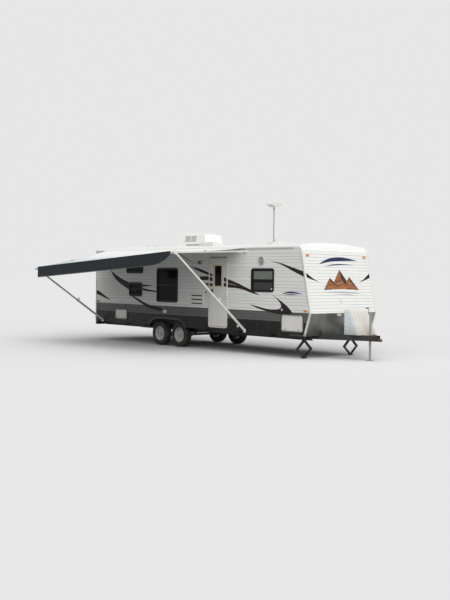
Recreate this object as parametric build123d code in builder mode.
from build123d import *
import os
from math import asin, cos, degrees, radians, sin, sqrt, tan

os.makedirs("parts", exist_ok=True)

# A two-axle travel caravan standing on its wheels and tongue jack, with its awning out.
# Axes: +X forward along the tongue, +Y left, +Z up, from the centre of the ball in the coupler.
# Heights are above the ground under the tyres. Stations are distances behind the body's nose.

# Placing
ball_height = 480
nose_setback = 1100

# Body shell
body_length = 8650
body_width = 2438
wall = 50
skirt_height = 550
nose_height = 1090
nose_tuck = 170
rake_height = 2450
rake_depth = 280
wall_top = 2620
eave_height = 2680
eave_radius = 60
crown_rise = 100
front_radius = 330
sheet_thickness = 3

# Ribbed siding, rolled in panels of four grooves
groove_width = 22
groove_depth = 5
groove_pitch = 75
side_panel_pitch = 335
side_panel_grooves = 4
first_side_groove = 590
side_panels = 6
first_front_groove = 1204
front_grooves = 18

# Windows: where, centre station, centre height, width, height, height of the cross bar above the sill
windows = [
    ("both", 1575, 1850, 790, 580, 275),
    ("both", 5260, 1670, 920, 940, 470),
    ("both", 6680, 1530, 620, 400, 205),
    ("right", 6735, 2140, 790, 320, 0),
]
window_corner = 75
window_flange = 42
window_proud = 12
window_bar = 30
sleeve_wall = 8
pane_thickness = 5
pane_recess = 14
seat_gap = 0.3

# Edge trim
trim_proud = 6
trim_face = 32
drip_depth = 18
drip_height = 30
drip_front = 560

# Entry door
door_station = 3180
door_sill = 640
door_width = 650
door_height = 1760
door_thickness = 42
leaf_gap = 8
leaf_proud = 8
door_frame_face = 32
door_frame_proud = 14
door_corner = 40
door_window_width = 280
door_window_height = 520
door_window_low = 1680
door_window_corner = 20
door_surround = 70
door_surround_proud = 6
door_pane_recess = 12
lock_inset = 92
lock_width = 62
lock_proud = 28
lock_low = 1500
lock_high = 1572

# Baggage hatches: name, side (right is -1), centre station, centre height, width, height
rear_hatch_inset = 1285
hatches = [
    ("hatch_front_right", -1, 565, 838, 700, 400),
    ("hatch_front_left", 1, 565, 838, 700, 400),
    ("hatch_rear_right", -1, body_length - rear_hatch_inset, 800, 560, 280),
]
hatch_thickness = 30
latch_radius = 18
latch_proud = 8
latch_up = 60
latch_spread = 0.3
hatch_corner = 60

# Hinges: barrels on the frame, knuckles and pins on the leaf
hinge_radius = 8
hinge_bore = 4
hinge_lift = 9
hinge_overhang = 4
hinge_barrel = 60
hinge_knuckle = 28
hinge_web_inner = 3
hinge_web_outer = 4
hinge_tab = 12
hinge_lap = 1
leaf_reach = 30
running_gap = 0.05
door_hinge_heights = (860, 1500, 2200)
hatch_rim_face = 18
hatch_rim_proud = 10

# Chassis
rail_bottom = 440
rail_height = 152
rail_flange = 76
rail_web = 6
rail_flange_thickness = 8
rail_tyre_gap = 87.5
rail_front_station = 240
rail_end_gap = 1
floor_thickness = 60
cross_member_height = 100
cross_member_width = 40
cross_member_stations = (760, 1500, 2700, 3900, 4500, 6400, 7400, 8400)
outrigger_stations = (400, 1500, 2700, 3900, 6400, 7400, 8400)
outrigger_tip = 40

# Holding tanks by front and rear station, and the bumper
tanks = [(2780, 3800), (6500, 7300)]
tank_half_width = 560
tank_bottom = 400
tank_corner = 60
bumper_half_width = 1120
bumper_size = 102
bumper_wall = 5
bumper_cap = 6
bumper_corner = 10
bumper_gap = 48
stub_half = 30
stub_inset = 10

# Tongue
tongue_angle = 25
tongue_rail_height = 127
tongue_rail_width = 50
tongue_rail_wall = 6
tongue_tip_x = -62
tongue_tip_y = 42
notch_gap = 5
ball_clearance = 0.65
ball_radius = 29.35
socket_wall = 11
socket_depth = 22
socket_lip = 2
coupler_tail = 200
latch_pin_x = -75
latch_pin_y = 22
latch_pin_radius = 9
latch_block_half = 12
latch_lever_half = 18
latch_lever_end = -175
latch_rise = 26
latch_lap = 2
latch_pin_drop = 4
jack_x = -300
jack_tube_radius = 30
jack_leg_radius = 25.5
jack_leg_clearance = 0.5
jack_tube_bottom = 350
jack_tube_top = 1090
jack_leg_top = 760
jack_foot_size = 150
jack_foot_corner = 15
jack_foot_thickness = 8
jack_flange_half = 60
jack_head_rise = 50
jack_head_wall = 8
crank_reach = 80
crank_rise = 142
crank_grip = 90
crank_radius = 9
crank_grip_radius = 11
crank_arm_drop = 20
crank_arm_lip = 8
tray_thickness = 6
tray_lip = 10
cover_back = 270
cover_top_depth = 170
cover_bottom_depth = 440
cover_height = 585
cover_width = 680
cover_wall = 4
cover_front_radius = 110
cover_side_radius = 30

# Running gear
axle_group_station = 5250
axle_spacing = 838
tyre_radius = 330
tyre_width = 205
rim_radius = 190
rim_width = 150
rim_wall = 8
disc_outward = 10
disc_thickness = 8
cooling_holes = 8
cooling_hole_radius = 17
cooling_circle_inset = 55
hub_radius = 62
hub_length = 38
wheel_inset = 169
spindle_radius = 18
spindle_clearance = 0.05
spindle_end = 5
axle_tube_radius = 32
drum_radius = 135
drum_width = 60
backing_plate = 6
drum_gap = 2
spring_eye_span = 660
spring_width = 45
spring_leaf = 8
spring_leaves = 3
leaf_step = 0.28
spring_camber = 70
spring_seat_half = 55
clamp_lip = 10
hanger_width = 76
hanger_half = 30
hanger_lip = 18
hanger_plate = 4
spring_eye_radius = 14
spring_bolt = 8
equaliser_height = 408
equaliser_plate = 10
equaliser_end = 18
equaliser_lip = 16
arch_radius = 410
arch_trim_width = 40
arch_trim_proud = 10
housing_clearance = 30
housing_wall = 8

# Front stabilisers
stabiliser_station = 500
arm_length = 290
arm_spread_at_foot = 25
arm_top_pivot = 411
arm_foot_pivot = 31
upper_arm_width = 56
arm_plate = 4
arm_depth = 38
lower_arm_width = 40
arm_pin_radius = 6
foot_size_x = 120
foot_size_y = 150
foot_thickness = 6
foot_ground_gap = 1
bracket_half = 45
bracket_lip = 14

# Awning: stations are those of the front arm and of its foot on the wall
awning_front_station = 2170
awning_length = 6100
awning_reach = 2280
awning_rail_radius = 12
awning_rail_overrun = 40
sheet_inset = 150
roller_radius = 38
front_roller_height = 2472
rear_roller_height = 2085
fabric_thickness = 8
fabric_sag = 45
valance_drop = 285
valance_sweep = 620
valance_inset = 65
arm_foot_height = 600
arm_split = 0.39
arm_outer = (52, 34)
arm_inner = (42, 26)
rafter_section = (34, 24)
rafter_drop = 60
arm_bracket = 30
arm_disc_half = 18
roller_cap_radius = 48
roller_cap_length = 45

# Roof: the fridge cap and the skylight by front station, rear station, right and left edge;
# the pipes by station and distance to the left
ac_station = 5190
ac_lift = 40
ac_length = 920
ac_width = 660
ac_height = 308
ac_lean = 40
ac_rear_lean = 25
ac_front_drop = 55
ac_front_radius = 80
ac_edge_radius = 30
ac_pan_inset = 60
ac_pan_length = 640
ac_sink = 5
ac_pan_width = 540
louvre_columns = 2
louvre_rows = 6
louvre_width = 225
louvre_gap = 25
louvre_pitch = 28
louvre_height = 14
louvre_depth = 6
first_louvre = 73
fridge_cap = (3730, 4270, -930, -700)
fridge_cap_rise = 60
skylight = (2600, 3000, 350, 750)
skylight_rise = 70
dome_radius = 20
vent_pipes = [(6480, -670), (7320, -300), (6900, 500), (1900, 500)]
vent_pipe_radius = 30
vent_cap_radius = 55
vent_pipe_rise = 60
vent_cap_rise = 30

# Antenna
mast_station = 2410
head_height = 3854
head_pivot_drop = 138
head_level_drop = 44
mast_radius = 14
mast_pivot_up = 110
mast_pivot_radius = 6
mast_base_radius = 70
mast_base_rise = 40
mast_eye_radius = 20
mast_eye_gap = 4
mast_ear_half = 30
mast_ear_thickness = 8
mast_ear_lip = 25
mast_ear_sink = 10
fork_half = 12
fork_inner = 10
fork_outer = 16
fork_lip = 12
fork_drop = 45
mast_neck = 30
head_knuckle_radius = 11
head_knuckle_half = 9
head_stem_half = 8
head_pin_radius = 4
head_span = 535
head_chord = 240
head_belly_span = 290
head_belly_depth = 70
head_tip_depth = 8

# Fridge vent: centre station and height, size, slots
vent_station = 4005
vent_height = 1312
vent_width = 540
vent_tall = 340
vent_proud = 14
vent_slot_length = 440
vent_slot_height = 30
vent_slot_pitch = 103
vent_slot_depth = 8

# Lamps and small fittings
lamp_length = 100
lamp_tall = 40
lamp_corner = 15
lamp_proud = 22
side_lamp_height = 1150
front_lamp_station = 140
rear_lamp_inset = 130
brow_lamp_inset = 169
brow_lamp_height = 2450
tail_lamp_inset = 209
tail_lamp_width = 140
tail_lamp_low = 900
tail_lamp_high = 1080
tail_lamp_proud = 30
speaker_station = 1615
speaker_height = 2330
speaker_radius = 105
speaker_proud = 22
outlet_station = 5320
outlet_height = 950
outlet_size = 90
outlet_proud = 30
porch_lamp_station = 3870
porch_lamp_height = 2280
porch_lamp_length = 120
porch_lamp_tall = 90
porch_lamp_proud = 50
switch_station = 3648
switch_height = 1513
switch_width = 30
switch_tall = 46
switch_proud = 18
switch_corner = 6
hitch_lamp_y = -200
hitch_lamp_height = 1050
hitch_lamp_length = 110
hitch_lamp_tall = 50
hitch_lamp_proud = 45

half_width = body_width / 2
wheel_center_y = half_width - wheel_inset
half_rails = wheel_center_y - tyre_width / 2 - rail_tyre_gap
rail_rear_station = body_length - wall - rail_end_gap
inner_limit = half_rails - rail_flange / 2
tongue_slope = tan(radians(tongue_angle))
tongue_rear_x = tongue_tip_x - (inner_limit - tongue_tip_y) / tongue_slope
rail_top = rail_bottom + rail_height
floor_top = rail_top + floor_thickness
crown_height = eave_height + crown_rise
tuck_slope = nose_tuck / (nose_height - skirt_height)
rake_slope = rake_depth / (rake_height - nose_height)


def up(height):
    """Z of a height above the ground."""
    return height - ball_height


def back(station):
    """X of a distance behind the body's nose."""
    return -nose_setback - station


def rake_station(height):
    """How far behind the nose the front face lies at a height above the nose."""
    return rake_slope * (height - nose_height)


def tuck_station(height):
    """How far behind the nose the stone guard's face lies at a height below the nose."""
    return tuck_slope * (nose_height - height)


def crown_at(y):
    """Height of the crowned roof at a distance from the centre line."""
    radius = (half_width**2 + crown_rise**2) / (2 * crown_rise)
    return crown_height - radius + sqrt(radius**2 - y**2)


def side_plane(side, proud=0):
    """Upright plane on a side wall's face. Its sketches keep +X and +Z on both sides."""
    return Plane.XZ.offset(-side * (half_width + proud))


def front_face(y, height, proud):
    """Plane on the raked front, its X across the body and its Y up the face."""
    normal = Vector(1, 0, rake_slope).normalized()
    on_face = Vector(back(rake_station(height)), y, up(height))
    return Plane(origin=on_face + normal * proud, x_dir=(0, 1, 0), z_dir=normal)


def keep(x_low, x_high, y_low, y_high, z_low, z_high):
    """Keeps what lies in a box."""
    with Locations(((x_low + x_high) / 2, (y_low + y_high) / 2, (z_low + z_high) / 2)):
        Box(x_high - x_low, y_high - y_low, z_high - z_low, mode=Mode.INTERSECT)


def block(x_low, x_high, y_low, y_high, z_low, z_high, mode=Mode.ADD):
    """A box between two corners."""
    with Locations(((x_low + x_high) / 2, (y_low + y_high) / 2, (z_low + z_high) / 2)):
        Box(x_high - x_low, y_high - y_low, z_high - z_low, mode=mode)


def side_block(side, x_low, x_high, inner, outer, z_low, z_high, mode=Mode.ADD):
    """A block on one side, between two distances from the centre line."""
    y_low, y_high = sorted((side * inner, side * outer))
    block(x_low, x_high, y_low, y_high, z_low, z_high, mode)


def bar(start, end, width, depth, mode=Mode.ADD):
    """A straight bar of rectangular section from one point to another, its width along X."""
    start, end = Vector(*start), Vector(*end)
    along = (end - start).normalized()
    with BuildSketch(Plane(origin=start, x_dir=(1, 0, 0), z_dir=along)) as section:
        Rectangle(width, depth)
    extrude(section.sketch, amount=(end - start).length, mode=mode)


def rod(start, end, radius, mode=Mode.ADD):
    """A round bar from one point to another."""
    start, end = Vector(*start), Vector(*end)
    with BuildSketch(Plane(origin=start, z_dir=(end - start).normalized())) as section:
        Circle(radius)
    extrude(section.sketch, amount=(end - start).length, mode=mode)


def write(part, label):
    """Names a finished piece and writes its file."""
    part.part.label = label
    export_step(part.part, f"parts/{label}.step")


def side_outline(inset, bottom):
    """The body's outline seen from the side, with its edges set in."""
    with BuildSketch(Plane.XZ) as side_view:
        with BuildLine():
            Polyline(
                (back(tuck_station(bottom)), up(bottom)),
                (back(0), up(nose_height)),
                (back(rake_station(crown_height)), up(crown_height)),
                (back(body_length), up(crown_height)),
                (back(body_length), up(bottom)),
                close=True,
            )
        make_face()
        brow = side_view.vertices().group_by(Axis.Y)[-1].sort_by(Axis.X)[-1]
        fillet(brow, front_radius)
        if inset:
            offset(amount=-inset, kind=Kind.INTERSECTION)
    return side_view.sketch


# Body shell: side view and cross-section meet in one crowned block, and a smaller one hollows it
def body_block(inset, bottom):
    """The body as one block with its faces set in, reaching down to a height."""
    with BuildPart() as whole:
        extrude(side_outline(inset, bottom), amount=body_width, both=True)
        with BuildSketch(Plane.YZ.offset(back(body_length + wall))) as cross_section:
            with BuildLine():
                Line((half_width, up(eave_height)), (half_width, up(bottom)))
                Line((half_width, up(bottom)), (-half_width, up(bottom)))
                Line((-half_width, up(bottom)), (-half_width, up(eave_height)))
                ThreePointArc(
                    (-half_width, up(eave_height)), (0, up(crown_height)), (half_width, up(eave_height))
                )
            make_face()
            fillet(cross_section.vertices().group_by(Axis.Y)[-1], eave_radius)
            if inset:
                offset(amount=-inset, kind=Kind.INTERSECTION)
        extrude(amount=body_length + 2 * wall, mode=Mode.INTERSECT)
    return whole.part


outer_body = body_block(0, skirt_height)
inner_body = body_block(wall, skirt_height - 4 * wall)
seat_body = body_block(-seat_gap, skirt_height)

side_grooves = [
    first_side_groove + panel * side_panel_pitch + groove * groove_pitch
    for panel in range(side_panels)
    for groove in range(side_panel_grooves)
    if first_side_groove + panel * side_panel_pitch + groove * groove_pitch < wall_top - groove_width
]


def window_rows(side):
    """The windows of one side."""
    return [row[1:] for row in windows if row[0] == "both" or side < 0]


def cut_side_grooves(side):
    """Rolls the grooves into a side wall."""
    with BuildSketch(Plane.YZ.offset(back(body_length + wall))) as notches:
        for height in side_grooves:
            Polygon(
                (side * (half_width + 1), up(height - groove_width / 2)),
                (side * (half_width - groove_depth), up(height)),
                (side * (half_width + 1), up(height + groove_width / 2)),
                align=None,
            )
    extrude(notches.sketch, amount=body_length + 2 * wall, mode=Mode.SUBTRACT)


def rounded_hole(side, station, height, width, tall, corner):
    """Cuts a rounded opening through a side wall."""
    with BuildSketch(side_plane(side, wall)) as hole:
        with Locations((back(station), up(height))):
            RectangleRounded(width, tall, corner)
    extrude(hole.sketch, amount=side * 3 * wall, mode=Mode.SUBTRACT)


def tongue_strip(side, spread):
    """Plan of one tongue rail, widened by a gap on both sides."""
    half = tongue_rail_width / cos(radians(tongue_angle)) / 2 + spread
    return [
        (tongue_tip_x, side * (tongue_tip_y - half)),
        (tongue_tip_x, side * (tongue_tip_y + half)),
        (tongue_rear_x + half / tongue_slope, side * inner_limit),
        (tongue_rear_x - half / tongue_slope, side * inner_limit),
    ]


def cut_tongue_notches():
    """Cuts the two gaps through which the tongue passes under the front."""
    for side in (-1, 1):
        with BuildSketch(Plane.XY.offset(up(rail_bottom))) as strip:
            Polygon(*tongue_strip(side, notch_gap), align=None)
        extrude(strip.sketch, amount=rail_height + notch_gap, mode=Mode.SUBTRACT)


def cut_wheel_arch(side):
    """Cuts the arch over both wheels of one side."""
    with BuildSketch(side_plane(side, wall)) as arch:
        with Locations((back(axle_group_station), up(tyre_radius))):
            SlotCenterToCenter(axle_spacing, 2 * arch_radius)
    extrude(arch.sketch, amount=side * 3 * wall, mode=Mode.SUBTRACT)


# Side walls: ribbed panels as thick as the wall, with their windows, hatches and door cut through
for side, label in ((-1, "right_wall"), (1, "left_wall")):
    with BuildPart() as side_wall:
        add(outer_body)
        y_low, y_high = sorted((side * half_width, side * (half_width - wall)))
        keep(back(body_length), back(0), y_low, y_high, up(skirt_height), up(wall_top))
        cut_side_grooves(side)
        for station, height, width, tall, bar_up in window_rows(side):
            inner = 2 * sleeve_wall
            rounded_hole(side, station, height, width - inner, tall - inner, window_corner - sleeve_wall)
        for name, hatch_side, station, height, width, tall in hatches:
            if hatch_side == side:
                rounded_hole(side, station, height, width, tall, hatch_corner)
        if side < 0:
            door_middle = door_sill + door_height / 2
            rounded_hole(side, door_station, door_middle, door_width, door_height, door_corner)
        cut_wheel_arch(side)
    write(side_wall, label)

# Front wall: ribbed below the smooth brow, between the side walls
with BuildPart() as front_wall:
    add(outer_body)
    add(inner_body, mode=Mode.SUBTRACT)
    keep(
        back(body_length / 2), back(0),
        wall - half_width, half_width - wall,
        up(skirt_height), up(wall_top),
    )
    with BuildSketch(Plane.XZ):
        for number in range(front_grooves):
            height = first_front_groove + number * groove_pitch
            low, high = height - groove_width / 2, height + groove_width / 2
            Polygon(
                (back(rake_station(low)) + 1, up(low)),
                (back(rake_station(height)) - groove_depth, up(height)),
                (back(rake_station(high)) + 1, up(high)),
                align=None,
            )
    extrude(amount=half_width, both=True, mode=Mode.SUBTRACT)
    cut_tongue_notches()
write(front_wall, "front_wall")

# Rear wall: upright, with the same rolled panels
with BuildPart() as rear_wall:
    block(
        back(body_length), back(body_length - wall),
        wall - half_width, half_width - wall,
        up(skirt_height), up(wall_top),
    )
    with BuildSketch(Plane.XZ):
        for height in side_grooves:
            Polygon(
                (back(body_length + 1), up(height - groove_width / 2)),
                (back(body_length - groove_depth), up(height)),
                (back(body_length + 1), up(height + groove_width / 2)),
                align=None,
            )
    extrude(amount=half_width, both=True, mode=Mode.SUBTRACT)
write(rear_wall, "rear_wall")

# Roof: one crowned skin with rolled eaves and the smooth brow over the front
with BuildPart() as roof:
    add(outer_body)
    add(inner_body, mode=Mode.SUBTRACT)
    keep(
        back(body_length), back(0),
        -half_width, half_width,
        up(wall_top), up(crown_height + wall),
    )
write(roof, "roof")

# Floor deck with a steel housing over each pair of wheels
with BuildPart() as floor_deck:
    with BuildSketch(Plane.XY.offset(up(rail_top))):
        with BuildLine():
            Polyline(
                (back(tuck_station(rail_top) + wall + 12), wall - half_width),
                (back(tuck_station(rail_top) + wall + 12), half_width - wall),
                (back(body_length - wall), half_width - wall),
                (back(body_length - wall), wall - half_width),
                close=True,
            )
        make_face()
    extrude(amount=floor_thickness)
    housing_inner = wheel_center_y - tyre_width / 2 - housing_clearance
    for side in (-1, 1):
        with BuildSketch(Plane.XZ.offset(-side * (half_width - wall))):
            with Locations((back(axle_group_station), up(tyre_radius))):
                SlotCenterToCenter(axle_spacing, 2 * (arch_radius + housing_wall))
        extrude(amount=side * (half_width - wall - housing_inner + housing_wall))
        with BuildSketch(Plane.XZ.offset(-side * (half_width - wall))):
            with Locations((back(axle_group_station), up(tyre_radius))):
                SlotCenterToCenter(axle_spacing, 2 * arch_radius)
        extrude(amount=side * (half_width - wall - housing_inner), mode=Mode.SUBTRACT)
    keep(
        back(body_length - wall), back(0),
        wall - half_width, half_width - wall,
        up(rail_top), up(wall_top),
    )
write(floor_deck, "floor_deck")

# Main rails: two rolled beams with the spring hangers and stabiliser brackets welded under them
first_axle = axle_group_station - axle_spacing / 2
eye_height = tyre_radius + 30
hanger_stations = (
    first_axle - spring_eye_span / 2 - spring_bolt,
    axle_group_station,
    first_axle + axle_spacing + spring_eye_span / 2 + spring_bolt,
)
with BuildPart() as main_rails:
    for side in (-1, 1):
        with BuildSketch(Plane.YZ.offset(back(rail_rear_station))):
            with Locations((side * half_rails, up(rail_bottom + rail_height / 2))):
                Rectangle(rail_web, rail_height)
            with Locations(
                (side * half_rails, up(rail_bottom + rail_flange_thickness / 2)),
                (side * half_rails, up(rail_top - rail_flange_thickness / 2)),
            ):
                Rectangle(rail_flange, rail_flange_thickness)
        extrude(amount=rail_rear_station - rail_front_station)
        for station in hanger_stations:
            bolt_height = equaliser_height if station == axle_group_station else eye_height
            for offset_y in (-hanger_width / 2, hanger_width / 2 - hanger_plate):
                plate_low = side * half_rails + offset_y
                block(
                    back(station) - hanger_half, back(station) + hanger_half,
                    plate_low, plate_low + hanger_plate, up(bolt_height - hanger_lip), up(rail_bottom),
                )
            rod(
                (back(station), side * half_rails - hanger_width / 2, up(bolt_height)),
                (back(station), side * half_rails + hanger_width / 2, up(bolt_height)),
                spring_bolt,
            )
        block(
            back(stabiliser_station) - upper_arm_width / 2 - arm_plate - 1,
            back(stabiliser_station) + upper_arm_width / 2 + arm_plate + 1,
            side * half_rails - bracket_half, side * half_rails + bracket_half,
            up(arm_top_pivot - bracket_lip), up(rail_bottom),
        )
        block(
            back(stabiliser_station) - upper_arm_width / 2 - 1,
            back(stabiliser_station) + upper_arm_width / 2 + 1,
            side * half_rails - bracket_half - 1, side * half_rails + bracket_half + 1,
            up(arm_top_pivot - bracket_lip - 1), up(rail_bottom - arm_plate), mode=Mode.SUBTRACT,
        )
        for toward in (-1, 1):
            pin_y = side * half_rails + toward * arm_spread_at_foot
            pin_end = upper_arm_width / 2 + arm_plate + 1
            rod(
                (back(stabiliser_station) - pin_end, pin_y, up(arm_top_pivot)),
                (back(stabiliser_station) + pin_end, pin_y, up(arm_top_pivot)),
                arm_pin_radius,
            )
write(main_rails, "main_rails")

# Cross members between the rails' webs, outriggers out to the walls, and the gas-bottle tray
with BuildPart() as cross_members:
    member_top = rail_top - rail_flange_thickness
    for station in cross_member_stations:
        block(
            back(station) - cross_member_width / 2, back(station) + cross_member_width / 2,
            rail_web / 2 - half_rails, half_rails - rail_web / 2,
            up(member_top - cross_member_height), up(member_top),
        )
    for side in (-1, 1):
        for station in outrigger_stations:
            with BuildSketch(Plane.YZ.offset(back(station) - cross_member_width / 2)):
                with BuildLine():
                    Polyline(
                        (side * (half_rails + rail_web / 2), up(member_top)),
                        (side * (half_rails + rail_web / 2), up(member_top - cross_member_height)),
                        (side * (half_rails + rail_flange / 2), up(member_top - cross_member_height)),
                        (side * (half_width - wall), up(rail_top - outrigger_tip)),
                        (side * (half_width - wall), up(rail_top)),
                        (side * (half_rails + rail_flange / 2), up(rail_top)),
                        (side * (half_rails + rail_flange / 2), up(member_top)),
                        close=True,
                    )
                make_face()
            extrude(amount=cross_member_width)
    block(
        cover_back - nose_setback - tray_lip, cover_back + cover_bottom_depth - nose_setback + tray_lip,
        -cover_width / 2 - tray_lip, cover_width / 2 + tray_lip,
        up(rail_top), up(rail_top + tray_thickness),
    )
write(cross_members, "cross_members")

# Tongue: two channel rails that meet behind the coupler and run back to the main rails
outer_shift = tongue_rail_width / cos(radians(tongue_angle))
with BuildPart() as tongue_rails:
    for side in (-1, 1):
        with BuildSketch(Plane.XY.offset(up(rail_top - tongue_rail_height))):
            Polygon(*tongue_strip(side, 0), align=None)
        extrude(amount=tongue_rail_height)
        pocket = tongue_rail_wall / cos(radians(tongue_angle))
        with BuildSketch(Plane.XY.offset(up(rail_top - tongue_rail_height + tongue_rail_wall))):
            with BuildLine():
                Polyline(
                    (tongue_tip_x + 1, side * (tongue_tip_y - outer_shift / 2 - tongue_slope)),
                    (tongue_tip_x + 1, side * (tongue_tip_y + outer_shift / 2 - pocket - tongue_slope)),
                    (tongue_rear_x + (outer_shift / 2 - pocket) / tongue_slope - 1, side * inner_limit),
                    (tongue_rear_x - outer_shift / 2 / tongue_slope - 2, side * inner_limit),
                    close=True,
                )
            make_face()
        extrude(amount=tongue_rail_height - 2 * tongue_rail_wall, mode=Mode.SUBTRACT)
write(tongue_rails, "tongue_rails")

# Coupler: a pressed hood with a ball socket under it, its tail between the tongue rails, and its latch
socket_radius = ball_radius + ball_clearance
hood_radius = socket_radius + socket_wall
with BuildPart() as coupler:
    with BuildSketch(Plane.XY.offset(-socket_depth)):
        Circle(hood_radius)
        with Locations((tongue_tip_x / 2, 0)):
            Rectangle(-tongue_tip_x, 2 * hood_radius)
    extrude(amount=socket_depth + hood_radius + socket_lip)
    top_rim = coupler.faces().sort_by(Axis.Z)[-1].edges().filter_by(GeomType.CIRCLE)
    fillet(top_rim, socket_wall)
    inner_tip = tongue_tip_y - outer_shift / 2
    with BuildSketch(Plane.XY.offset(-socket_depth)):
        with BuildLine():
            Polyline(
                (tongue_tip_x + 1, hood_radius),
                (tongue_tip_x + 1, -hood_radius),
                (tongue_tip_x, -hood_radius),
                (tongue_tip_x, -inner_tip),
                (tongue_tip_x - coupler_tail, -inner_tip - coupler_tail * tongue_slope),
                (tongue_tip_x - coupler_tail, inner_tip + coupler_tail * tongue_slope),
                (tongue_tip_x, inner_tip),
                (tongue_tip_x, hood_radius),
                close=True,
            )
        make_face()
    extrude(amount=hood_radius + socket_depth)
    with BuildSketch(Plane.XY.offset(-socket_depth)):
        Circle(socket_radius)
    extrude(amount=socket_depth + socket_lip, mode=Mode.SUBTRACT)
    with Locations((0, 0, socket_lip)):
        Sphere(socket_radius, mode=Mode.SUBTRACT)
    latch_top = hood_radius + latch_rise
    latch_pin_z = latch_top - latch_pin_drop
    block(
        2 * latch_pin_x, tongue_tip_x + latch_lap, -latch_block_half, latch_block_half,
        hood_radius - latch_lap, latch_top,
    )
    rod((latch_pin_x, -latch_pin_y, latch_pin_z), (latch_pin_x, latch_pin_y, latch_pin_z), latch_pin_radius)
    block(
        latch_lever_end, tongue_tip_x, -latch_lever_half, latch_lever_half,
        latch_top - latch_lap, latch_top + latch_pin_drop,
    )
write(coupler, "coupler")

# Tongue jack: a fixed outer tube with its mounting flange and crank head, and a leg with a foot plate
with BuildPart() as jack_tube:
    rod((jack_x, 0, up(jack_tube_bottom)), (jack_x, 0, up(jack_tube_top)), jack_tube_radius)
    flange_half = abs(jack_x) * tongue_slope + tongue_rail_width
    block(
        jack_x - jack_flange_half, jack_x + jack_flange_half, -flange_half, flange_half,
        up(rail_top), up(rail_top + tray_thickness),
    )
    head_top = jack_tube_top + jack_head_rise
    rod((jack_x, 0, up(jack_tube_top)), (jack_x, 0, up(head_top)), jack_tube_radius + jack_head_wall)
    shaft_height = up(jack_tube_top + jack_head_rise / 2)
    rod((jack_x, 0, shaft_height), (jack_x, -crank_reach, shaft_height), crank_radius - 1)
    crank_top = up(jack_tube_top + crank_rise)
    rod(
        (jack_x, -crank_reach, shaft_height - crank_arm_drop),
        (jack_x, -crank_reach, crank_top + crank_arm_lip),
        crank_radius,
    )
    rod(
        (jack_x, -crank_reach, crank_top), (jack_x, -crank_reach - crank_grip, crank_top),
        crank_grip_radius,
    )
    hollow = jack_leg_radius + jack_leg_clearance
    leg_ceiling = up(jack_tube_top - jack_head_rise / 2)
    rod((jack_x, 0, up(jack_tube_bottom) - 1), (jack_x, 0, leg_ceiling), hollow, mode=Mode.SUBTRACT)
write(jack_tube, "jack_tube")

with BuildPart() as jack_leg:
    rod((jack_x, 0, up(jack_foot_thickness)), (jack_x, 0, up(jack_leg_top)), jack_leg_radius)
    with BuildSketch(Plane.XY.offset(up(0))):
        with Locations((jack_x, 0)):
            RectangleRounded(jack_foot_size, jack_foot_size, jack_foot_corner)
    extrude(amount=jack_foot_thickness)
write(jack_leg, "jack_leg")

# Gas-bottle cover: a moulded hood, flat behind and leaning in front
with BuildPart() as gas_cover:
    cover_base = rail_top + tray_thickness
    cover_x = cover_back - nose_setback
    with BuildSketch(Plane.XZ) as cover_view:
        with BuildLine():
            Polyline(
                (cover_x, up(cover_base)),
                (cover_x, up(cover_base + cover_height)),
                (cover_x + cover_top_depth, up(cover_base + cover_height)),
                (cover_x + cover_bottom_depth, up(cover_base)),
                close=True,
            )
        make_face()
        front_top = cover_view.vertices().group_by(Axis.Y)[-1].sort_by(Axis.X)[-1]
        fillet(front_top, cover_front_radius)
    extrude(amount=cover_width / 2, both=True)
    side_edges = gas_cover.faces().filter_by(Axis.Y).edges() - gas_cover.faces().sort_by(Axis.Z)[0].edges()
    fillet(side_edges, cover_side_radius)
    offset(amount=-cover_wall, openings=gas_cover.faces().sort_by(Axis.Z)[0])
write(gas_cover, "gas_cover")

# Stone guard: a bright metal sheet over the tucked-in lower front
with BuildPart() as stone_guard:
    with BuildSketch(Plane.XZ):
        with BuildLine():
            Polyline(
                (back(tuck_station(skirt_height)), up(skirt_height)),
                (back(0), up(nose_height)),
                (back(0) + sheet_thickness, up(nose_height)),
                (back(tuck_station(skirt_height)) + sheet_thickness, up(skirt_height)),
                close=True,
            )
        make_face()
    extrude(amount=half_width - trim_face - 1, both=True)
    cut_tongue_notches()
write(stone_guard, "stone_guard")

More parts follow.
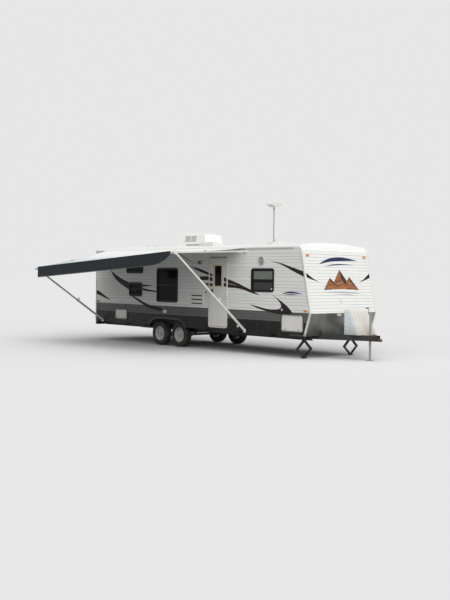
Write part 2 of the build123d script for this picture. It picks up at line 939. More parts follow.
# Axle sets: a tube with brake backing plates and spindles, on two clamped leaf springs
hub_bore = spindle_radius + spindle_clearance
drum_inner_y = wheel_center_y - rim_width / 2 - drum_width
plate_y = drum_inner_y - backing_plate - drum_gap
with BuildPart() as axle_sets:
    for number in range(2):
        axle_x = back(first_axle + number * axle_spacing)
        rod((axle_x, -plate_y, up(tyre_radius)), (axle_x, plate_y, up(tyre_radius)), axle_tube_radius)
        for side in (-1, 1):
            rod(
                (axle_x, side * plate_y, up(tyre_radius)),
                (axle_x, side * (plate_y + backing_plate), up(tyre_radius)),
                drum_radius,
            )
            rod(
                (axle_x, side * plate_y, up(tyre_radius)),
                (axle_x, side * (wheel_center_y - spindle_end), up(tyre_radius)),
                spindle_radius,
            )
            spring_top = eye_height - spring_camber
            with BuildSketch(Plane.XZ.offset(-side * half_rails - spring_width / 2)):
                for leaf in range(spring_leaves):
                    half = spring_eye_span / 2 * (1 - leaf_step * leaf)
                    rise = spring_camber * (half / (spring_eye_span / 2)) ** 2
                    low = spring_top - leaf * spring_leaf
                    with BuildLine():
                        ThreePointArc(
                            (axle_x - half, up(low + rise)),
                            (axle_x, up(low)),
                            (axle_x + half, up(low + rise)),
                        )
                        Line((axle_x + half, up(low + rise)), (axle_x + half, up(low + rise - spring_leaf)))
                        ThreePointArc(
                            (axle_x + half, up(low + rise - spring_leaf)),
                            (axle_x, up(low - spring_leaf)),
                            (axle_x - half, up(low + rise - spring_leaf)),
                        )
                        Line((axle_x - half, up(low + rise - spring_leaf)), (axle_x - half, up(low + rise)))
                    make_face()
            extrude(amount=spring_width)
            for end in (-1, 1):
                eye_x = axle_x + end * (spring_eye_span / 2 + spring_bolt)
                eye_low = side * half_rails - spring_width / 2
                rod(
                    (eye_x, eye_low, up(eye_height)), (eye_x, eye_low + spring_width, up(eye_height)),
                    spring_eye_radius,
                )
                rod(
                    (eye_x, eye_low - 1, up(eye_height)),
                    (eye_x, eye_low + spring_width + 1, up(eye_height)),
                    spring_bolt + seat_gap, mode=Mode.SUBTRACT,
                )
            seat_low = spring_top - spring_leaves * spring_leaf
            block(
                axle_x - spring_seat_half, axle_x + spring_seat_half,
                side * half_rails - spring_width / 2, side * half_rails + spring_width / 2,
                up(spring_top - 1), up(tyre_radius),
            )
            clamp_half = spring_width / 2 + clamp_lip
            block(
                axle_x - spring_seat_half - 5, axle_x + spring_seat_half + 5,
                side * half_rails - clamp_half, side * half_rails + clamp_half,
                up(seat_low - spring_leaf), up(seat_low),
            )
    for side in (-1, 1):
        inner_ends = axle_spacing / 2 - spring_eye_span / 2 - spring_bolt
        for hand in (-1, 1):
            equaliser_y = side * half_rails + hand * (spring_width / 2 + seat_gap + equaliser_plate / 2)
            middle_x = back(axle_group_station)
            with BuildSketch(Plane.XZ.offset(-equaliser_y - equaliser_plate / 2)):
                with BuildLine():
                    Polyline(
                        (middle_x - inner_ends - equaliser_end, up(eye_height - spring_eye_radius)),
                        (middle_x - inner_ends - equaliser_end, up(eye_height + equaliser_lip)),
                        (middle_x - equaliser_end, up(equaliser_height + equaliser_lip)),
                        (middle_x + equaliser_end, up(equaliser_height + equaliser_lip)),
                        (middle_x + inner_ends + equaliser_end, up(eye_height + equaliser_lip)),
                        (middle_x + inner_ends + equaliser_end, up(eye_height - spring_eye_radius)),
                        (middle_x, up(eye_height + 20)),
                        close=True,
                    )
                make_face()
                with Locations((back(axle_group_station), up(equaliser_height))):
                    Circle(spring_bolt + seat_gap, mode=Mode.SUBTRACT)
            extrude(amount=equaliser_plate)
        for hand in (-1, 1):
            bolt_x = back(axle_group_station) + hand * inner_ends
            reach = spring_width / 2 + seat_gap + equaliser_plate
            rod(
                (bolt_x, side * half_rails - reach, up(eye_height)),
                (bolt_x, side * half_rails + reach, up(eye_height)),
                spring_bolt,
            )
write(axle_sets, "axle_sets")

# Wheels: tyre and pressed rim with its brake drum, on the four spindles
# The section's rows give how far up the sidewall and how wide from the middle
tyre_section_height = tyre_radius - rim_radius
tyre_section = [
    (0, rim_width / 2),
    (0.16, tyre_width / 2 - 8),
    (0.45, tyre_width / 2),
    (0.72, tyre_width / 2 - 5),
    (0.90, tyre_width / 2 - 14),
    (1, tyre_width / 2 - 30),
]
for number, place in ((0, "front"), (1, "rear")):
    for side, hand in ((-1, "right"), (1, "left")):
        wheel_x = back(first_axle + number * axle_spacing)
        wheel_plane = Plane(
            origin=(wheel_x, side * wheel_center_y, up(tyre_radius)), x_dir=(1, 0, 0), z_dir=(0, side, 0)
        )
        with BuildPart() as tyre:
            with BuildSketch(Plane(wheel_plane.origin, x_dir=(1, 0, 0), z_dir=(0, 0, 1))):
                sidewall = [(rim_radius + rise * tyre_section_height, half) for rise, half in tyre_section]
                with BuildLine():
                    Polyline(*sidewall, *[(radius, -half) for radius, half in sidewall[::-1]], close=True)
                make_face()
            revolve(axis=Axis(wheel_plane.origin, (0, 1, 0)))
        write(tyre, f"tyre_{place}_{hand}")
        with BuildPart() as rim:
            with BuildSketch(wheel_plane.offset(-rim_width / 2)):
                Circle(rim_radius)
                Circle(rim_radius - rim_wall, mode=Mode.SUBTRACT)
            extrude(amount=rim_width)
            with BuildSketch(wheel_plane.offset(disc_outward)):
                Circle(rim_radius - rim_wall / 2)
                with PolarLocations(rim_radius - cooling_circle_inset, cooling_holes):
                    Circle(cooling_hole_radius, mode=Mode.SUBTRACT)
            extrude(amount=disc_thickness)
            with BuildSketch(wheel_plane.offset(disc_outward)):
                Circle(hub_radius)
            extrude(amount=hub_length)
            with BuildSketch(wheel_plane.offset(-rim_width / 2 - drum_width)):
                Circle(drum_radius)
            extrude(amount=rim_width / 2 + drum_width + disc_outward)
            with BuildSketch(wheel_plane.offset(-rim_width / 2 - drum_width)):
                Circle(hub_bore)
            extrude(amount=rim_width / 2 + drum_width, mode=Mode.SUBTRACT)
        write(rim, f"rim_{place}_{hand}")

# Holding tanks slung under the floor between the cross members
with BuildPart() as holding_tanks:
    for front, rear in tanks:
        block(back(rear), back(front), -tank_half_width, tank_half_width, up(tank_bottom), up(rail_top))
    fillet(holding_tanks.edges().filter_by(Axis.Z), tank_corner)
write(holding_tanks, "holding_tanks")

# Rear bumper: a square tube with capped ends, on two stubs off the main rails
with BuildPart() as rear_bumper:
    bumper_x = back(body_length) - bumper_gap - bumper_size / 2
    bumper_middle = up(rail_bottom + bumper_size / 2)
    with BuildSketch(Plane.XZ.offset(-bumper_half_width)):
        with Locations((bumper_x, bumper_middle)):
            RectangleRounded(bumper_size, bumper_size, bumper_corner)
            RectangleRounded(
                bumper_size - 2 * bumper_wall, bumper_size - 2 * bumper_wall, bumper_corner - bumper_wall,
                mode=Mode.SUBTRACT,
            )
    extrude(amount=2 * bumper_half_width)
    for side in (-1, 1):
        with BuildSketch(Plane.XZ.offset(-side * bumper_half_width)):
            with Locations((bumper_x, bumper_middle)):
                RectangleRounded(bumper_size, bumper_size, bumper_corner)
        extrude(amount=side * bumper_cap)
        block(
            bumper_x + bumper_size / 2 - 1, back(rail_rear_station),
            side * half_rails - stub_half, side * half_rails + stub_half,
            up(rail_bottom + stub_inset), up(rail_bottom + bumper_size - stub_inset),
        )
write(rear_bumper, "rear_bumper")

# Window frames: a radiused flange outside, a sleeve through the wall and a cross bar
with BuildPart() as window_frames:
    for side in (-1, 1):
        for station, height, width, tall, bar_up in window_rows(side):
            light = 2 * window_flange
            light_corner = window_corner - window_flange
            sleeve = 2 * (sleeve_wall + seat_gap)
            with BuildSketch(side_plane(side, seat_gap)):
                with Locations((back(station), up(height))):
                    RectangleRounded(width, tall, window_corner)
                    RectangleRounded(width - light, tall - light, light_corner, mode=Mode.SUBTRACT)
            extrude(amount=-side * window_proud)
            with BuildSketch(side_plane(side, seat_gap)):
                with Locations((back(station), up(height))):
                    RectangleRounded(width - sleeve, tall - sleeve, window_corner - sleeve / 2)
                    RectangleRounded(width - light, tall - light, light_corner, mode=Mode.SUBTRACT)
            extrude(amount=side * wall)
            if bar_up:
                with BuildSketch(side_plane(side, seat_gap)):
                    with Locations((back(station), up(height - tall / 2 + bar_up))):
                        Rectangle(width - light + 2, window_bar)
                extrude(amount=side * pane_recess)
                with BuildSketch(side_plane(side, seat_gap)):
                    with Locations((back(station), up(height - tall / 2 + bar_up))):
                        Rectangle(width - light + 2, window_bar)
                extrude(amount=-side * window_proud / 2)
write(window_frames, "window_frames")

# Window panes, seated behind the cross bars
with BuildPart() as window_panes:
    for side in (-1, 1):
        for station, height, width, tall, bar_up in window_rows(side):
            light = 2 * (window_flange + seat_gap)
            with BuildSketch(side_plane(side, -pane_recess)):
                with Locations((back(station), up(height))):
                    RectangleRounded(width - light, tall - light, window_corner - light / 2)
            extrude(amount=side * pane_thickness)
write(window_panes, "window_panes")


def hinge_plane(origin, into, along, place):
    """Plane across a hinge at a place along it: its X towards the leaf, its Y outwards."""
    origin, into, along = Vector(*origin), Vector(*into), Vector(*along)
    return Plane(origin=origin + along * place, x_dir=into, z_dir=along)


def frame_barrels(origin, into, along, places):
    """Barrels on short webs that stand on a frame's face."""
    for place in places:
        with BuildSketch(hinge_plane(origin, into, along, place - hinge_barrel / 2)) as section:
            Circle(hinge_radius)
            web_end = -hinge_lift - hinge_lap
            Polygon((-hinge_radius, 0), (0, 0), (0, web_end), (-hinge_radius, web_end), align=None)
            Circle(hinge_bore + running_gap, mode=Mode.SUBTRACT)
        extrude(section.sketch, amount=hinge_barrel)


def leaf_knuckles(origin, into, along, places, drop):
    """Pins through the barrels, held by knuckles on webs that stand on a leaf's face."""
    reach = hinge_barrel / 2 + hinge_lap + hinge_knuckle
    tab_inner, tab_end = leaf_reach - hinge_tab, -drop - hinge_lap
    for place in places:
        with BuildSketch(hinge_plane(origin, into, along, place - reach)) as pin:
            Circle(hinge_bore)
        extrude(pin.sketch, amount=2 * reach)
        for low in (place - reach, place + reach - hinge_knuckle):
            with BuildSketch(hinge_plane(origin, into, along, low)) as web:
                Circle(hinge_radius)
                Polygon(
                    (0, -hinge_web_inner), (leaf_reach, -hinge_web_inner),
                    (leaf_reach, hinge_web_outer), (0, hinge_web_outer), align=None,
                )
                Polygon(
                    (tab_inner, hinge_web_outer), (leaf_reach, hinge_web_outer),
                    (leaf_reach, tab_end), (tab_inner, tab_end), align=None,
                )
            extrude(web.sketch, amount=hinge_knuckle)


def hatch_hinge(side, station, height, tall):
    """Axis of a top-hung hatch: its place, the way into the leaf and the way along it."""
    origin = (
        back(station),
        side * (half_width + hatch_rim_proud + hinge_lift),
        up(height + tall / 2 + hinge_overhang),
    )
    return origin, (0, 0, -1), (side, 0, 0)


def flat_leaf(side, station, middle, width, tall, corner, thick):
    """A flat leaf set in its opening with a gap all round, a little proud of the wall."""
    with BuildSketch(side_plane(side, leaf_proud)) as leaf:
        with Locations((back(station), up(middle))):
            RectangleRounded(width - 2 * leaf_gap, tall - 2 * leaf_gap, corner - leaf_gap)
    extrude(leaf.sketch, amount=side * thick)


# Entry door, hung at its front edge, with its window surround, lock and hinge knuckles
door_hinge_x = back(door_station) + door_width / 2 + hinge_overhang
door_hinge_y = -(half_width + door_frame_proud + hinge_lift)
door_hinge_line = (door_hinge_x, door_hinge_y, 0), (-1, 0, 0), (0, 0, 1)
door_hinge_places = [up(height) for height in door_hinge_heights]
with BuildPart() as entry_door:
    door_middle = door_sill + door_height / 2
    flat_leaf(-1, door_station, door_middle, door_width, door_height, door_corner, door_thickness)
    surround = 2 * door_surround
    door_window_middle = up(door_window_low + door_window_height / 2)
    with BuildSketch(side_plane(-1, leaf_proud)):
        with Locations((back(door_station), door_window_middle)):
            RectangleRounded(
                door_window_width + surround, door_window_height + surround, door_window_corner + 10
            )
    extrude(amount=door_surround_proud)
    with BuildSketch(side_plane(-1, leaf_proud + wall)):
        with Locations((back(door_station), door_window_middle)):
            RectangleRounded(door_window_width, door_window_height, door_window_corner)
    extrude(amount=-2 * wall, mode=Mode.SUBTRACT)
    lock_x = back(door_station) - door_width / 2 + leaf_gap + lock_inset
    block(
        lock_x - lock_width / 2, lock_x + lock_width / 2,
        -half_width - leaf_proud - lock_proud, -half_width - leaf_proud,
        up(lock_low), up(lock_high),
    )
    leaf_knuckles(*door_hinge_line, door_hinge_places, door_frame_proud + hinge_lift - leaf_proud)
write(entry_door, "entry_door")

with BuildPart() as entry_door_pane:
    with BuildSketch(side_plane(-1, leaf_proud - door_pane_recess)):
        with Locations((back(door_station), door_window_middle)):
            RectangleRounded(
                door_window_width - 2 * seat_gap,
                door_window_height - 2 * seat_gap,
                door_window_corner - seat_gap,
            )
    extrude(amount=-pane_thickness)
write(entry_door_pane, "entry_door_pane")

# Baggage hatches, hung at their top edges
for name, side, station, height, width, tall in hatches:
    with BuildPart() as hatch:
        flat_leaf(side, station, height, width, tall, hatch_corner, hatch_thickness)
        latch_z = up(height - tall / 2 + latch_up)
        for latch in (-1, 1):
            with BuildSketch(side_plane(side, leaf_proud)):
                with Locations((back(station) + latch * width * latch_spread, latch_z)):
                    Circle(latch_radius)
            extrude(amount=-side * latch_proud)
        drop = hatch_rim_proud + hinge_lift - leaf_proud
        hinge_places = (-width * latch_spread, width * latch_spread)
        leaf_knuckles(*hatch_hinge(side, station, height, tall), hinge_places, drop)
    write(hatch, name)

# Edge trim: L-shaped corner mouldings, the door's frame and the drip rails under the eaves
with BuildPart() as edge_trim:
    grown = side_outline(-trim_proud, skirt_height)
    flush = side_outline(-seat_gap, skirt_height)
    face_edge = side_outline(trim_face, skirt_height)
    for side in (-1, 1):
        to_side = Location((0, side * (half_width + seat_gap), 0))
        to_front = Location((0, side * (half_width - trim_face), 0))
        extrude((to_side * (grown - face_edge)).faces(), amount=-side * (trim_proud - seat_gap))
        extrude((to_front * (grown - flush)).faces(), amount=-side * (trim_face + trim_proud))
    block(
        back(body_length - trim_face), back(front_radius + rake_depth + trim_face),
        -body_width, body_width, up(0), up(crown_height + body_width), mode=Mode.SUBTRACT,
    )
    keep(back(body_length + wall), back(-wall), -body_width, body_width, up(skirt_height), up(wall_top))
    with BuildSketch(side_plane(-1, seat_gap)):
        with Locations((back(door_station), up(door_middle))):
            face = 2 * door_frame_face
            RectangleRounded(door_width + face, door_height + face, door_corner + door_frame_face)
            RectangleRounded(door_width, door_height, door_corner, mode=Mode.SUBTRACT)
    extrude(amount=door_frame_proud - seat_gap)
    frame_barrels(*door_hinge_line, door_hinge_places)
    for name, side, station, height, width, tall in hatches:
        with BuildSketch(side_plane(side, seat_gap)):
            with Locations((back(station), up(height))):
                rim_face = 2 * hatch_rim_face
                RectangleRounded(width + rim_face, tall + rim_face, hatch_corner + hatch_rim_face)
                RectangleRounded(width, tall, hatch_corner, mode=Mode.SUBTRACT)
        extrude(amount=-side * (hatch_rim_proud - seat_gap))
        hinge_places = (-width * latch_spread, width * latch_spread)
        frame_barrels(*hatch_hinge(side, station, height, tall), hinge_places)
    for side in (-1, 1):
        block(
            back(body_length), back(drip_front),
            min(side * half_width, side * (half_width + drip_depth)),
            max(side * half_width, side * (half_width + drip_depth)),
            up(wall_top), up(wall_top + drip_height),
        )
write(edge_trim, "edge_trim")

# Wheel arch trims: dark mouldings round the arches
with BuildPart() as wheel_arch_trims:
    for side in (-1, 1):
        with BuildSketch(side_plane(side)):
            with Locations((back(axle_group_station), up(tyre_radius))):
                SlotCenterToCenter(axle_spacing, 2 * (arch_radius + arch_trim_width))
                SlotCenterToCenter(axle_spacing, 2 * arch_radius, mode=Mode.SUBTRACT)
        extrude(amount=-side * arch_trim_proud)
    keep(back(body_length), back(0), -body_width, body_width, up(skirt_height), up(wall_top))
write(wheel_arch_trims, "wheel_arch_trims")

# Fridge vent: a louvred door low on the right wall
with BuildPart() as fridge_vent:
    with BuildSketch(side_plane(-1, seat_gap)):
        with Locations((back(vent_station), up(vent_height))):
            RectangleRounded(vent_width, vent_tall, 20)
    extrude(amount=vent_proud)
    fillet(fridge_vent.faces().sort_by(Axis.Y)[0].edges(), vent_proud / 3)
    with BuildSketch(side_plane(-1, vent_proud + 1)):
        with Locations((back(vent_station), up(vent_height))):
            with GridLocations(0, vent_slot_pitch, 1, 3):
                SlotOverall(vent_slot_length, vent_slot_height)
    extrude(amount=-vent_slot_depth - 1, mode=Mode.SUBTRACT)
write(fridge_vent, "fridge_vent")

# Air conditioner on the roof's centre line: side and front views meet in a shroud with louvres at its rear
ac_base = crown_height + ac_lift
ac_rear_x = back(ac_station) - ac_length / 2
ac_front_x = back(ac_station) + ac_length / 2
with BuildPart() as air_conditioner:
    with BuildSketch(Plane.XZ) as shroud_side:
        with BuildLine():
            rear_top = (ac_rear_x + ac_rear_lean, up(ac_base + ac_height - ac_front_drop / 2))
            front_top = (ac_front_x - ac_lean, up(ac_base + ac_height - ac_front_drop))
            ThreePointArc(rear_top, (back(ac_station) - ac_lean, up(ac_base + ac_height)), front_top)
            Polyline(front_top, (ac_front_x, up(ac_base)), (ac_rear_x, up(ac_base)), rear_top)
        make_face()
        top_corners = shroud_side.vertices().group_by(Axis.Y)[1:]
        top_ends = [corner[0] for corner in top_corners]
        rear_corner, front_corner = sorted(top_ends, key=lambda corner: corner.X)
        fillet(rear_corner, ac_edge_radius)
        fillet(front_corner, ac_front_radius)
    extrude(amount=ac_width / 2, both=True)
    with BuildSketch(Plane.YZ.offset(ac_rear_x)) as shroud_front:
        with BuildLine():
            Polyline(
                (-ac_width / 2, up(ac_base)),
                (-ac_width / 2 + ac_lean, up(ac_base + ac_height)),
                (ac_width / 2 - ac_lean, up(ac_base + ac_height)),
                (ac_width / 2, up(ac_base)),
                close=True,
            )
        make_face()
        fillet(shroud_front.vertices().group_by(Axis.Y)[-1], 2 * ac_edge_radius)
    extrude(amount=ac_length, mode=Mode.INTERSECT)
    for side in (-1, 1):
        for row in range(louvre_rows):
            louvre_low = first_louvre + row * louvre_pitch
            face_y = ac_width / 2 - ac_lean * (louvre_low + louvre_height / 2) / ac_height
            for column in range(louvre_columns):
                louvre_x = ac_rear_x + 2 * ac_edge_radius + column * (louvre_width + louvre_gap)
                side_block(
                    side, louvre_x, louvre_x + louvre_width, face_y - louvre_depth, ac_width,
                    up(ac_base + louvre_low), up(ac_base + louvre_low + louvre_height), mode=Mode.SUBTRACT,
                )
    pan_x = ac_rear_x + ac_pan_inset
    block(
        pan_x, pan_x + ac_pan_length, -ac_pan_width / 2, ac_pan_width / 2,
        up(crown_at(ac_pan_width / 2) - ac_sink), up(ac_base + ac_sink),
    )
    add(seat_body, mode=Mode.SUBTRACT)
write(air_conditioner, "air_conditioner")

# Roof fittings: fridge cap, skylight dome, capped vent pipes and the mast's base
mast_foot = crown_height + mast_pivot_up
mast_x = back(mast_station)
mast_ear_inner = mast_eye_radius + mast_eye_gap
mast_ear_outer = mast_ear_inner + mast_ear_thickness
with BuildPart() as roof_fittings:
    for (front, rear, right, left), rise in ((fridge_cap, fridge_cap_rise), (skylight, skylight_rise)):
        lowest = crown_at(max(abs(right), abs(left))) - 5
        block(back(rear), back(front), right, left, up(lowest), up(crown_height + rise))
    level_faces = roof_fittings.faces().filter_by(Axis.Z)
    domes = level_faces.filter_by(lambda face: face.center().Z > up(crown_height + 1))
    fillet(domes.edges(), dome_radius)
    for station, y in vent_pipes:
        pipe_top = crown_at(y) + vent_pipe_rise
        rod((back(station), y, up(crown_at(y) - 5)), (back(station), y, up(pipe_top)), vent_pipe_radius)
        with BuildSketch(Plane.XY.offset(up(pipe_top))):
            with Locations((back(station), y)):
                Circle(vent_cap_radius)
        extrude(amount=vent_cap_rise, taper=20)
    rod((mast_x, 0, up(crown_height) - 2), (mast_x, 0, up(crown_height + mast_base_rise)), mast_base_radius)
    for ear in (-1, 1):
        side_block(
            ear, mast_x - mast_ear_half, mast_x + mast_ear_half, mast_ear_inner, mast_ear_outer,
            up(crown_height + mast_base_rise - mast_ear_sink), up(mast_foot + mast_ear_lip),
        )
    rod(
        (mast_x, -2 * mast_eye_radius, up(mast_foot)), (mast_x, 2 * mast_eye_radius, up(mast_foot)),
        mast_pivot_radius + running_gap, mode=Mode.SUBTRACT,
    )
    add(seat_body, mode=Mode.SUBTRACT)
write(roof_fittings, "roof_fittings")

# Crank-up antenna: a mast that lies down to the rear, with a winged head that stays level
mast_top = head_height - head_pivot_drop
with BuildPart() as antenna_mast:
    foot_z = up(mast_foot)
    rod((mast_x, 0, foot_z), (mast_x, 0, up(mast_top - mast_neck)), mast_radius)
    rod((mast_x, -mast_eye_radius, foot_z), (mast_x, mast_eye_radius, foot_z), mast_eye_radius)
    rod((mast_x, -mast_ear_outer, foot_z), (mast_x, mast_ear_outer, foot_z), mast_pivot_radius)
    for ear in (-1, 1):
        side_block(
            ear, mast_x - fork_half, mast_x + fork_half, fork_inner, fork_outer,
            up(mast_top - fork_drop), up(mast_top + fork_lip),
        )
    rod(
        (mast_x, -mast_eye_radius, up(mast_top)), (mast_x, mast_eye_radius, up(mast_top)),
        head_pin_radius + running_gap, mode=Mode.SUBTRACT,
    )
write(antenna_mast, "antenna_mast")

# The head's front view, thin at its tips and deep over the mast, is kept to an oval seen from above
with BuildPart() as antenna_head:
    level = head_height - head_level_drop
    with BuildSketch(Plane.YZ.offset(mast_x - head_chord / 2)):
        with BuildLine():
            ThreePointArc((-head_span / 2, up(level)), (0, up(head_height)), (head_span / 2, up(level)))
            Polyline(
                (head_span / 2, up(level)),
                (head_span / 2, up(level - head_tip_depth)),
                (head_belly_span / 2, up(level - 2 * head_tip_depth)),
            )
            ThreePointArc(
                (head_belly_span / 2, up(level - 2 * head_tip_depth)),
                (0, up(level - head_belly_depth)),
                (-head_belly_span / 2, up(level - 2 * head_tip_depth)),
            )
            Polyline(
                (-head_belly_span / 2, up(level - 2 * head_tip_depth)),
                (-head_span / 2, up(level - head_tip_depth)),
                (-head_span / 2, up(level)),
            )
        make_face()
    extrude(amount=head_chord)
    with BuildSketch(Plane.XY.offset(up(level - 2 * head_belly_depth))) as oval:
        with Locations((mast_x, 0)):
            Ellipse(head_chord / 2, head_span / 2)
    extrude(amount=4 * head_belly_depth, mode=Mode.INTERSECT)
    top_z = up(mast_top)
    rod((mast_x, -head_knuckle_half, top_z), (mast_x, head_knuckle_half, top_z), head_knuckle_radius)
    rod((mast_x, -fork_outer, top_z), (mast_x, fork_outer, top_z), head_pin_radius)
    block(
        mast_x - head_stem_half, mast_x + head_stem_half, -head_knuckle_half, head_knuckle_half,
        top_z, up(level - head_belly_depth / 2),
    )
write(antenna_head, "antenna_head")

# Lamps: amber markers, and the red lamps of the rear
with BuildPart() as marker_lamps:
    for side in (-1, 1):
        with BuildSketch(side_plane(side, seat_gap)):
            with Locations((back(front_lamp_station), up(side_lamp_height))):
                RectangleRounded(lamp_length, lamp_tall, lamp_corner)
        extrude(amount=-side * lamp_proud)
        with BuildSketch(front_face(side * (half_width - brow_lamp_inset), brow_lamp_height, seat_gap)):
            RectangleRounded(lamp_length, lamp_tall, lamp_corner)
        extrude(amount=lamp_proud)
write(marker_lamps, "marker_lamps")

with BuildPart() as tail_lamps:
    for side in (-1, 1):
        with BuildSketch(side_plane(side, seat_gap)):
            with Locations((back(body_length - rear_lamp_inset), up(side_lamp_height))):
                RectangleRounded(lamp_length, lamp_tall, lamp_corner)
        extrude(amount=-side * lamp_proud)
        with BuildSketch(Plane.YZ.offset(back(body_length) - seat_gap)):
            tail_lamp_middle = (tail_lamp_low + tail_lamp_high) / 2
            with Locations((side * (half_width - tail_lamp_inset), up(tail_lamp_middle))):
                RectangleRounded(tail_lamp_width, tail_lamp_high - tail_lamp_low, lamp_corner)
        extrude(amount=-tail_lamp_proud)
write(tail_lamps, "tail_lamps")

# Small fittings: speaker, outlet, porch lamp and its switch on the right wall, and the hitch lamp in front
with BuildPart() as side_fittings:
    with BuildSketch(side_plane(-1, seat_gap)):
        with Locations((back(speaker_station), up(speaker_height))):
            Circle(speaker_radius)
    extrude(amount=speaker_proud)
    with BuildSketch(side_plane(-1, seat_gap)):
        with Locations((back(outlet_station), up(outlet_height))):
            RectangleRounded(outlet_size, outlet_size, lamp_corner)
    extrude(amount=outlet_proud)
    with BuildSketch(side_plane(-1, seat_gap)):
        with Locations((back(porch_lamp_station), up(porch_lamp_height))):
            RectangleRounded(porch_lamp_length, porch_lamp_tall, 20)
    extrude(amount=porch_lamp_proud)
    with BuildSketch(side_plane(-1, seat_gap)):
        with Locations((back(switch_station), up(switch_height))):
            RectangleRounded(switch_width, switch_tall, switch_corner)
    extrude(amount=switch_proud)
    guard_normal = Vector(1, 0, -tuck_slope).normalized()
    guard_x = back(tuck_station(hitch_lamp_height)) + sheet_thickness
    guard_point = Vector(guard_x, hitch_lamp_y, up(hitch_lamp_height))
    guard_face = Plane(origin=guard_point + guard_normal * seat_gap, x_dir=(0, 1, 0), z_dir=guard_normal)
    with BuildSketch(guard_face):
        RectangleRounded(hitch_lamp_length, hitch_lamp_tall, lamp_corner)
    extrude(amount=hitch_lamp_proud)
write(side_fittings, "side_fittings")

# Awning: rail on the wall, fabric sheet, roller lowered at its rear end, arms and rafters
front_arm_x = back(awning_front_station)
rear_arm_x = front_arm_x - awning_length
rail_y = -(half_width + drip_depth)
awning_height = wall_top + drip_height / 2
roller_y = -half_width - awning_reach
with BuildPart() as awning_rail:
    rod(
        (front_arm_x + awning_rail_overrun, rail_y - awning_rail_radius, up(awning_height)),
        (rear_arm_x - awning_rail_overrun, rail_y - awning_rail_radius, up(awning_height)),
        awning_rail_radius,
    )
write(awning_rail, "awning_rail")

front_arm_end = Vector(front_arm_x, roller_y, up(front_roller_height))
rear_arm_end = Vector(rear_arm_x, roller_y, up(rear_roller_height))
roller_axis = (rear_arm_end - front_arm_end).normalized()
roller_start = arm_disc_half + seat_gap + roller_cap_length
roller_front = front_arm_end + roller_axis * roller_start
roller_rear = rear_arm_end - roller_axis * roller_start
with BuildPart() as awning_roller:
    rod(roller_front, roller_rear, roller_radius)
    rod(roller_front - roller_axis * roller_cap_length, roller_front, roller_cap_radius)
    rod(roller_rear, roller_rear + roller_axis * roller_cap_length, roller_cap_radius)
write(awning_roller, "awning_roller")


def roller_height(x):
    """Height of the slanting roller's axis at a place along it, above the frame's origin."""
    share = (roller_front.X - x) / (roller_front.X - roller_rear.X)
    return roller_front.Z + share * (roller_rear.Z - roller_front.Z)


def sheet_section(x):
    """Thin crescent of the sheet at one end, from the rail to over the roller."""
    rail_end = Vector(rail_y - 2 * awning_rail_radius - seat_gap, up(awning_height))
    roller_end = Vector(roller_y, roller_height(x) + roller_radius + 3 * seat_gap)
    middle = (rail_end + roller_end) / 2 - Vector(0, fabric_sag)
    over = Vector(0, fabric_thickness)
    with BuildSketch(Plane.YZ.offset(x)) as section:
        with BuildLine():
            ThreePointArc(rail_end, middle, roller_end)
            Line(roller_end, roller_end + over)
            ThreePointArc(roller_end + over, middle + over, rail_end + over)
            Line(rail_end + over, rail_end)
        make_face()
    return section


# The fabric is the sheet, twisted with the roller, and the valance with its swept front corner
with BuildPart() as awning_fabric:
    front_section = sheet_section(front_arm_x - sheet_inset)
    rear_section = sheet_section(rear_arm_x + sheet_inset)
    loft(sections=[front_section.sketch, rear_section.sketch], ruled=True)
    valance_front = roller_front + Vector(0, -roller_radius - seat_gap, 0) + roller_axis * valance_inset
    valance_length = (roller_rear - roller_front).length - 2 * valance_inset
    downwards = roller_axis.cross(Vector(0, 0, -1)).normalized()
    with BuildSketch(Plane(origin=valance_front, x_dir=roller_axis, z_dir=downwards)):
        top, bottom = -roller_radius, valance_drop - roller_radius
        with BuildLine():
            Polyline(
                (0, 0), (0, top), (valance_length, top),
                (valance_length, bottom), (valance_sweep, bottom),
            )
            Bezier(
                (valance_sweep, bottom),
                (valance_sweep * 0.6, bottom * 0.85),
                (valance_sweep * 0.12, bottom * 0.62),
                (0, 0),
            )
        make_face()
    extrude(amount=fabric_thickness / 2)
write(awning_fabric, "awning_fabric")

with BuildPart() as awning_arms:
    for end in (front_arm_end, rear_arm_end):
        x = end.X
        foot = Vector(x, -half_width - 25, up(arm_foot_height))
        collar = foot + (end - foot) * arm_split
        bar(foot, collar, arm_outer[1], arm_outer[0])
        bar(collar, end, arm_inner[1], arm_inner[0])
        block(
            x - arm_bracket, x + arm_bracket, -half_width - arm_bracket, -half_width,
            up(arm_foot_height - 2 * arm_bracket), up(arm_foot_height + arm_bracket),
        )
        rod(end - roller_axis * arm_disc_half, end + roller_axis * arm_disc_half, roller_cap_radius)
        rafter = Vector(x, -half_width - 15, up(wall_top - rafter_drop))
        bar(rafter, end + Vector(0, 30, 0), rafter_section[1], rafter_section[0])
        block(
            x - arm_bracket, x + arm_bracket, -half_width - arm_bracket, -half_width,
            up(wall_top - rafter_drop - arm_bracket), up(wall_top - rafter_drop + arm_bracket),
        )
write(awning_arms, "awning_arms")

# Front stabilisers: two pairs of channel arms that meet at knees, over a level foot
arm_angle = degrees(asin((arm_top_pivot - arm_foot_pivot) / 2 / arm_length))


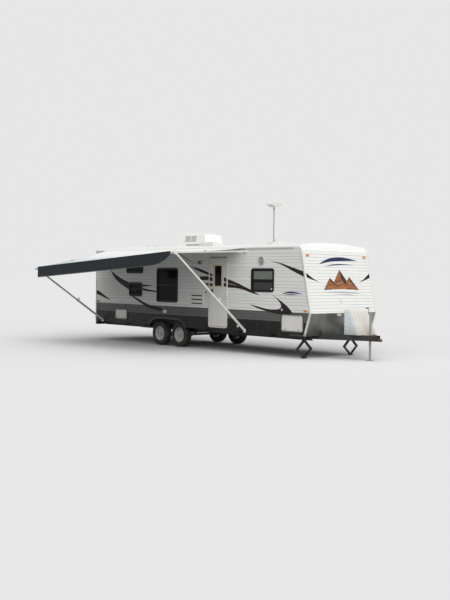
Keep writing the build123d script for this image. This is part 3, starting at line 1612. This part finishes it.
def arm(center_x, start, end, width, open_side):
    """A channel arm between two pivots in a plane across the frame, its back on one side of the line."""
    start, end = Vector(*start), Vector(*end)
    direction = (end - start).normalized()
    origin = (center_x - width / 2, start.X, start.Y)
    plane = Plane(origin=origin, x_dir=(0, direction.X, direction.Y), z_dir=(1, 0, 0))
    length = (end - start).length
    with BuildSketch(plane) as outline:
        with Locations((length / 2, 0)):
            SlotCenterToCenter(length, arm_depth)
    extrude(outline.sketch, amount=width)
    with BuildSketch(plane.offset(arm_plate)) as pocket:
        with Locations((length / 2, -open_side * arm_plate)):
            Rectangle(length + 2 * arm_depth, arm_depth)
        with Locations((0, 0), (length, 0)):
            Rectangle(2 * arm_depth, 2 * arm_depth)
    extrude(pocket.sketch, amount=width - 2 * arm_plate, mode=Mode.SUBTRACT)


def arm_pin(center_x, place, reach, gap, mode):
    """A pin through a pivot along the caravan, or the hole for it."""
    rod((center_x - reach, *place), (center_x + reach, *place), arm_pin_radius + gap, mode=mode)


for side, hand in ((-1, "right"), (1, "left")):
    jack_center_x = back(stabiliser_station)
    middle_y = side * half_rails
    for toward, name in ((-1, "a"), (1, "b")):
        top = (middle_y + toward * arm_spread_at_foot, up(arm_top_pivot))
        knee = (
            top[0] + toward * arm_length * cos(radians(arm_angle)),
            up(arm_top_pivot - arm_length * sin(radians(arm_angle))),
        )
        bottom = (middle_y + toward * arm_spread_at_foot, up(arm_foot_pivot))
        with BuildPart() as upper_arm:
            arm(jack_center_x, top, knee, upper_arm_width, toward)
            arm_pin(jack_center_x, top, upper_arm_width / 2 + 1, running_gap, Mode.SUBTRACT)
            arm_pin(jack_center_x, knee, upper_arm_width / 2, 0, Mode.ADD)
        write(upper_arm, f"stabiliser_{hand}_upper_{name}")
        with BuildPart() as lower_arm:
            arm(jack_center_x, knee, bottom, lower_arm_width, toward)
            arm_pin(jack_center_x, knee, lower_arm_width / 2 + 1, running_gap, Mode.SUBTRACT)
            arm_pin(jack_center_x, bottom, lower_arm_width / 2 + 1, running_gap, Mode.SUBTRACT)
        write(lower_arm, f"stabiliser_{hand}_lower_{name}")
    with BuildPart() as foot:
        block(
            jack_center_x - foot_size_x / 2, jack_center_x + foot_size_x / 2,
            middle_y - foot_size_y / 2, middle_y + foot_size_y / 2,
            up(foot_ground_gap), up(foot_ground_gap + foot_thickness),
        )
        ear_inner = lower_arm_width / 2 + 1
        for ear in (-1, 1):
            block(
                jack_center_x + min(ear * ear_inner, ear * (ear_inner + arm_plate)),
                jack_center_x + max(ear * ear_inner, ear * (ear_inner + arm_plate)),
                middle_y - bracket_half, middle_y + bracket_half,
                up(foot_ground_gap + 1), up(arm_foot_pivot + bracket_lip),
            )
        for toward in (-1, 1):
            bottom = (middle_y + toward * arm_spread_at_foot, up(arm_foot_pivot))
            arm_pin(jack_center_x, bottom, ear_inner + arm_plate, 0, Mode.ADD)
    write(foot, f"stabiliser_{hand}_foot")
